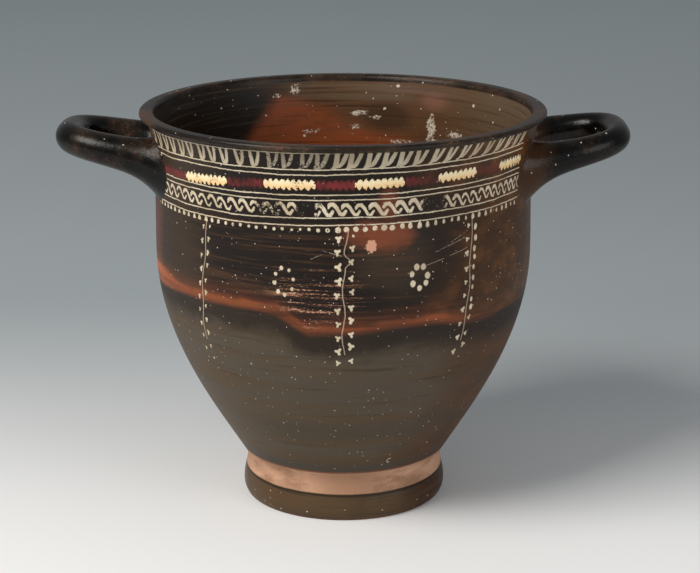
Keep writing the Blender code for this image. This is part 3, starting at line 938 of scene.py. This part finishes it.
def glazed_inside(colours):
    """The inside: brushed glaze from black through a red misfired patch to brown, with lime; the black on
    the left is partly painted shade and the brown-grey on the right partly painted light.
    """
    finish = Finish("inside glaze", colours)
    place = finish.object_place()
    wheel = Wheel(finish, place)
    back, level = wheel.back, wheel.level
    brushed = finish.noise(finish.stretched(place, 10, 10, 380), 1.0, 5, 0.65)
    cloud = finish.noise(place, 15, 4, 0.6)
    patchy = finish.noise(finish.stretched(place, 1, 1, 2), 55, 4, 0.65)
    grain = finish.noise(place, 560, 3, 0.65)
    fuzz = cloud - 0.5
    # Black on the left of the inside: partly the glaze's colour, partly painted shade on the wall turned
    # away from the key light.
    dark = abs(back + 96 + fuzz * 24).ease(98, 62) * back.ease(-178, -138)
    colour = finish.mix(dark, "sepia", "inside_black_and_shade")
    # Brown-grey on the right of the inside: partly the glaze's colour, partly painted light and sheen where
    # the key light falls.
    colour = colour.mix(abs(back - 96 + fuzz * 20).ease(66, 34), "brown_grey_and_light")
    border = back + (250 - level).least(40) * 0.42 + fuzz * 8 + (patchy - 0.5) * 6
    patch = border.ease(-29, -21) * (back + fuzz * 16 - (236 - level).least(26) * 0.9).ease(10, -8)
    patch = patch * (level + fuzz * 90).ease(120, 190)
    top = (level + (brushed - 0.5) * 18 + fuzz * 10).ease(260, 249)
    flame = finish.mix((patchy + (brushed - 0.5) * 0.8).ease(0.4, 0.7), "red_glaze", "rust")
    colour = colour.mix(patch * top * 0.9, flame)
    low = (level + (brushed - 0.5) * 12).ease(232, 220) * abs(back - 6).ease(24, 10)
    low = low * (level + fuzz * 90).ease(120, 190)
    colour = colour.mix(low * 0.6, "red_glaze")
    colour = colour.mix(smudge(back, level, 33, 252, 9, 10, fuzz) * 0.6, "pink_brown")
    grey = (level + (brushed - 0.5) * 20).ease(244, 256) * abs(back - 2).ease(26, 14)
    colour = colour.mix(grey * brushed.ease(0.36, 0.6) * 0.8, "brown_grey_and_light")
    colour = colour.mix(brushed.ease(0.5, 0.7) * 0.35, "brown_grey_and_light")
    colour = colour.mix(brushed.ease(0.48, 0.3) * 0.55, "inside_black_and_shade")
    colour = colour.mix(smudge(back, level, 15, 240, 13, 15, fuzz) * 0.45, "inside_black_and_shade")

    shaken = finish.shaken(place, 800, 0.0012)
    lime = finish.specks(shaken, 230, 0.16, 0.36).most(finish.specks(shaken, 100, 0.13, 0.25))
    crust = finish.noise(place, 480, 4, 0.8)
    marks = smudge(back, level, 32, 234, 2.6, 17, (patchy - 0.5) * 0.9)
    for lime_patch in LIME_PATCHES:
        spot = smudge(back, level, *lime_patch, (patchy - 0.5) * 0.9)
        marks = marks.most(spot * 0.85)
    lime = lime.most((crust + marks * 0.24).ease(0.66, 0.74))
    colour = colour.mix(lime * 0.8, "lime")
    roughness = 0.34 + 0.16 * cloud + 0.12 * brushed + 0.3 * lime
    return finish.surface(colour, roughness, brushed * 0.6 + grain * 0.2 + lime * 0.7, strength=0.6)


def glazed_handles(colours):
    """The handles: thick black glaze with lime specks and brown rubbed places."""
    finish = Finish("handle glaze", colours)
    place = finish.object_place()
    cloud = finish.noise(place, 26, 4, 0.6)
    grain = finish.noise(place, 420, 3, 0.65)
    patchy = finish.noise(place, 75, 4, 0.65)
    x, y, _ = finish.parts(place)
    near_wall = (apart(x, y) * 1000 + (cloud - 0.5) * 20).ease(146, 133)
    right = x > 0
    colour = finish.mix((cloud + (patchy - 0.5) * 0.6).ease(0.45, 0.75) * 0.6, "handle", "umber")
    colour = colour.mix(near_wall * right * 0.8, "brown")
    rubbed = (grain + (cloud - 0.5) * 0.9).ease(0.64, 0.74)
    colour = colour.mix(rubbed * 0.25, "clay_red")
    lime = finish.specks(finish.shaken(place, 900, 0.0009), 240, 0.15, 0.22)
    colour = colour.mix(lime * 0.7, "lime")
    roughness = 0.16 + 0.18 * cloud + 0.2 * rubbed
    return finish.surface(colour, roughness, grain + patchy * 0.8 + lime, shine=0.18)


def bare_underside(colours):
    """The hollow under the foot: bare clay with smears of glaze."""
    finish = Finish("bare underside", colours)
    place = finish.object_place()
    colour = bare_clay(finish, Wheel(finish, place))
    smear = finish.noise(place, 45, 4, 0.6)
    colour = colour.mix(smear.ease(0.56, 0.64) * 0.8, "umber")
    grain = finish.noise(place, 600, 3, 0.6)
    return finish.surface(colour, 0.72 + 0.1 * smear, grain, depth=0.0003)


def colour_setting(name, description, red, green, blue):
    """A colour that a user can change, given as the 0 to 255 numbers of a screen colour."""
    return bpy.props.FloatVectorProperty(name=name, description=description, default=ink(red, green, blue),
                                         size=3, subtype="COLOR", min=0.0, max=1.0)


def thickness_setting(name, default):
    return bpy.props.FloatProperty(name=name, description="Thickness of the handle's bar", default=default,
                                   min=0.008, max=0.026, precision=4, subtype="DISTANCE", unit="LENGTH")


def lean_setting(name, degrees):
    return bpy.props.FloatProperty(name=name, description="How far one root is above the other",
                                   default=math.radians(degrees), subtype="ANGLE", unit="ROTATION")


def count_setting(name, description, default):
    return bpy.props.IntProperty(name=name, description=description, default=default, min=8)


def palette(settings, names):
    """Colours of a group of settings, by their names."""
    return {name: tuple(getattr(settings, name)) for name in names}


class KRATER_PG_shape(bpy.types.PropertyGroup):
    """The two handles, and how fine the krater's mesh is."""

    left_thickness: thickness_setting("Left handle", 0.0198)
    right_thickness: thickness_setting("Right handle", 0.0174)
    left_lean: lean_setting("Left lean", -2.0)
    right_lean: lean_setting("Right lean", 2.5)
    turns: count_setting("Steps round the bowl", "Faces round the turned body", 300)
    bar_sides: count_setting("Sides of the bars", "Faces round a handle's bar", 44)
    bar_steps: count_setting("Steps along the bars", "Faces along a handle's bar", 84)


class KRATER_PG_glaze(bpy.types.PropertyGroup):
    """Colours of the krater's glaze, clay and paint."""

    black: colour_setting("Black glaze", "Glaze on the upper front", 20, 12, 7)
    dark: colour_setting("Dark glaze", "Glaze just under the misfired band", 30, 21, 14)
    # Umber on the bowl's left side is partly painted sheen.
    umber: colour_setting("Umber glaze", "Thin glaze on the left side", 56, 43, 31)
    sepia: colour_setting("Sepia streaks", "Brush streaks in the dark glaze", 84, 55, 32)
    brown: colour_setting("Brown glaze", "Misfired glaze on the right side", 64, 38, 15)
    tan: colour_setting("Tan glaze", "Mottles in the brown glaze", 102, 62, 26)
    grey: colour_setting("Grey glaze", "Dull glaze of the lower bowl", 78, 69, 57)
    olive: colour_setting("Olive glaze", "Smears in the lower bowl's glaze", 80, 63, 42)
    # Slate also paints shade low on the bowl, just above the bare band.
    slate: colour_setting("Slate glaze", "Dark smears low on the bowl", 58, 56, 50)
    orange: colour_setting("Orange band", "Misfired band round the bowl", 138, 72, 38)
    flame: colour_setting("Bright orange", "The band's brightest part at the left", 176, 98, 60)
    rust: colour_setting("Rust", "The band's darker parts", 112, 58, 32)
    brick: colour_setting("Brick flush", "Red misfired patch on the front", 128, 66, 40)
    pink: colour_setting("Pink wear", "Worn specks in the glaze", 204, 152, 124)
    pink_brown: colour_setting("Pinkish brown", "Stain inside the bowl", 128, 84, 66)
    # Rubbed clay also paints a reddish sheen at the far left of the upper bowl.
    clay_red: colour_setting("Rubbed clay", "Clay that shows through rubbed glaze", 116, 72, 50)
    lime: colour_setting("Lime", "Chalky deposit from the ground", 214, 200, 180)
    clay: colour_setting("Bare clay", "Band left without glaze at the foot", 192, 150, 122)
    # Stained clay also paints shade across the front of the bare band.
    clay_dark: colour_setting("Stained clay", "Stains in the bare band", 150, 112, 86)
    cream: colour_setting("Cream paint", "Lines, tongues, waves and drops", 218, 204, 177)
    cream_dull: colour_setting("Thin cream", "Cream paint where it is thin", 186, 170, 142)
    thread: colour_setting("Thread paint", "Strings of the hanging ornaments", 196, 174, 150)
    yellow: colour_setting("Yellow paint", "Upper edge of the yellow lengths", 240, 222, 182)
    ochre: colour_setting("Ochre paint", "Lower edge of the yellow lengths", 234, 196, 142)
    crimson: colour_setting("Crimson paint", "Red lengths of the garland", 120, 42, 42)
    lip: colour_setting("Lip glaze", "Black glaze of the lip", 20, 13, 8)
    handle: colour_setting("Handle glaze", "Black glaze of the handles", 6, 5, 4)
    # Inside black also paints shade on the left of the inside.
    inside_black_and_shade: colour_setting("Inside black", "Black glaze inside the bowl", 20, 13, 6)
    # Inside brown also paints light and sheen on the right of the inside.
    brown_grey_and_light: colour_setting("Inside brown", "Brown-grey glaze inside the bowl", 90, 72, 54)
    red_glaze: colour_setting("Inside red", "Red misfired patch inside the bowl", 132, 66, 34)


class KRATER_PG_stage(bpy.types.PropertyGroup):
    """The floor, the lights and the camera's lens."""

    # Near, middle and far floor colours paint the falloff of the light over the floor.
    floor_near: colour_setting("Near floor", "Floor in front of the krater", 236, 236, 236)
    floor_middle: colour_setting("Middle floor", "Floor just behind the krater", 158, 166, 170)
    floor_far: colour_setting("Far floor", "Floor far behind the krater", 172, 182, 184)
    floor_size: bpy.props.FloatProperty(name="Floor size", description="Side of the square floor",
                                        default=16.0, min=4.0, subtype="DISTANCE", unit="LENGTH")
    key_power: bpy.props.FloatProperty(name="Key light", description="Power of the left light",
                                       default=66.0, min=0.0, subtype="POWER")
    fill_power: bpy.props.FloatProperty(name="Fill light", description="Power of the right light",
                                        default=13.0, min=0.0, subtype="POWER")
    sky: bpy.props.FloatProperty(name="Surrounding light", description="Strength of the even light",
                                 default=0.28, min=0.0)
    lens: bpy.props.FloatProperty(name="Lens", description="Focal length of the camera",
                                  default=95.35, min=10.0, subtype="DISTANCE_CAMERA")


class KRATER_OT_vessel(bpy.types.Operator):
    """Build the glazed and painted krater in place of its plain solid"""

    bl_idname = "krater.vessel"
    bl_label = "Krater"

    def execute(self, context):
        shape = context.scene.krater_shape
        colours = palette(context.scene.krater_glaze, KRATER_PG_glaze.__annotations__)
        krater = new_object("dressed_krater", turned_vessel(shape.turns))
        fineness = (shape.bar_sides, shape.bar_steps)
        guides = [loop_handle("left_guide", -1, shape.left_thickness, shape.left_lean, *fineness),
                  loop_handle("right_guide", 1, shape.right_thickness, shape.right_lean, *fineness)]
        finishes = (painted_frieze, painted_belly, glazed_base, glazed_foot, glazed_lip, glazed_inside,
                    glazed_handles, bare_underside)
        for make in finishes:
            krater.data.materials.append(make(colours))
        for guide in guides:
            for material in krater.data.materials:
                guide.data.materials.append(material)
            union = krater.modifiers.new(guide.name, "BOOLEAN")
            union.operation = "UNION"
            union.solver = "EXACT"
            union.object = guide
        shown = krater.evaluated_get(context.evaluated_depsgraph_get())
        fused = bpy.data.meshes.new_from_object(shown)
        krater.modifiers.clear()
        krater.data = fused
        for guide in guides:
            bpy.data.objects.remove(guide)
        soften_roots(fused)
        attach(krater, "root")
        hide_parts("krater")
        return {"FINISHED"}


def soften_roots(mesh):
    """Smooths the clay where the handles meet the wall."""
    bm = bmesh.new()
    bm.from_mesh(mesh)
    near = []
    for vert in bm.verts:
        radius = math.hypot(vert.co.x, vert.co.y)
        level = ROOTS_ABOVE < vert.co.z < LIP_Z - ROOTS_UNDER_LIP
        outside = BELLY_RADIUS - WALL / 3 < radius < wall_radius(vert.co.z) + ROOTS_REACH
        if abs(vert.co.x) > ROOTS_BESIDE and level and outside:
            near.append(vert)
    for _ in range(ROOTS_PASSES):
        bmesh.ops.smooth_vert(bm, verts=near, factor=0.5, use_axis_x=True, use_axis_y=True,
                              use_axis_z=True)
    for face in bm.faces:
        face.smooth = True
    bm.to_mesh(mesh)
    bm.free()


def soft_light(name, place, side, colour, power):
    """A square soft light that faces the krater."""
    light = bpy.data.lights.new(name, "AREA")
    light.shape = "RECTANGLE"
    light.size, light.size_y = side, side
    light.energy = power
    light.color = colour
    item = bpy.data.objects.new(name, light)
    item.location = place
    item.rotation_euler = (Vector(LIGHTS_AIM) - Vector(place)).to_track_quat("-Z", "Y").to_euler()
    bpy.context.collection.objects.link(item)


class KRATER_OT_stage(bpy.types.Operator):
    """Build the pale floor, the soft lights and the camera"""

    bl_idname = "krater.stage"
    bl_label = "Stage"

    def execute(self, context):
        settings = context.scene.krater_stage
        bm = bmesh.new()
        bmesh.ops.create_grid(bm, x_segments=1, y_segments=1, size=settings.floor_size / 2)
        floor = new_object("floor", bm)
        finish = Finish("pale floor", palette(settings, ("floor_near", "floor_middle", "floor_far")))
        depth = finish.parts(finish.object_place())[1]
        # The floor's colour changes with depth as painted light falloff: bright in front, darkest just
        # behind the krater, slightly lighter far behind.
        colour = finish.mix(depth.ease(-0.2, 0.5), "floor_near", "floor_middle")
        colour = colour.mix(depth.ease(0.8, 2.6), "floor_far")
        finish.tree.links.new(colour.socket, finish.shader.inputs["Base Color"])
        finish.shader.inputs["Roughness"].default_value = 0.9
        floor.data.materials.append(finish.material)

        world = bpy.data.worlds.new("studio")
        world.use_nodes = True
        surround = world.node_tree.nodes["Background"].inputs
        surround["Color"].default_value = SURROUND_COLOUR
        surround["Strength"].default_value = settings.sky
        context.scene.world = world
        soft_light("key", *KEY_LIGHT, settings.key_power)
        soft_light("fill", *FILL_LIGHT, settings.fill_power)

        camera = bpy.data.objects.new("camera", bpy.data.cameras.new("camera"))
        camera.data.lens = settings.lens
        camera.data.sensor_width = CAMERA_SENSOR
        camera.matrix_world = camera_place()
        context.collection.objects.link(camera)
        context.scene.camera = camera
        context.scene.view_settings.view_transform = "Standard"
        return {"FINISHED"}


def camera_place():
    """Where the camera stands and looks: in front, above the lip and tilted down."""
    turned = Matrix.Rotation(-CAMERA_YAW, 4, "Z")
    tilted = Matrix.Rotation(math.pi / 2 - CAMERA_PITCH, 4, "X")
    rolled = Matrix.Rotation(CAMERA_ROLL, 4, "Z")
    return Matrix.Translation(CAMERA_AT) @ turned @ tilted @ rolled


class KRATER_PT_panel(bpy.types.Panel):
    """Everything that builds the krater and its stage"""

    bl_idname = "KRATER_PT_panel"
    bl_label = "Bell Krater"
    bl_space_type = "VIEW_3D"
    bl_region_type = "UI"
    bl_category = "Krater"

    def draw(self, context):
        scene = context.scene
        pieces = (("krater.vessel", (scene.krater_shape, scene.krater_glaze)),
                  ("krater.stage", (scene.krater_stage,)))
        for operator, groups in pieces:
            box = self.layout.box()
            box.operator(operator)
            for settings in groups:
                for name in type(settings).__annotations__:
                    box.prop(settings, name)


CLASSES = (KRATER_PG_shape, KRATER_PG_glaze, KRATER_PG_stage, KRATER_OT_vessel, KRATER_OT_stage,
           KRATER_PT_panel)


def register():
    for made in CLASSES:
        bpy.utils.register_class(made)
    bpy.types.Scene.krater_shape = bpy.props.PointerProperty(type=KRATER_PG_shape)
    bpy.types.Scene.krater_glaze = bpy.props.PointerProperty(type=KRATER_PG_glaze)
    bpy.types.Scene.krater_stage = bpy.props.PointerProperty(type=KRATER_PG_stage)


def unregister():
    del bpy.types.Scene.krater_stage
    del bpy.types.Scene.krater_glaze
    del bpy.types.Scene.krater_shape
    for made in reversed(CLASSES):
        bpy.utils.unregister_class(made)


def main():
    register()
    bpy.ops.krater.vessel()
    bpy.ops.krater.stage()


if __name__ == "__main__":
    main()
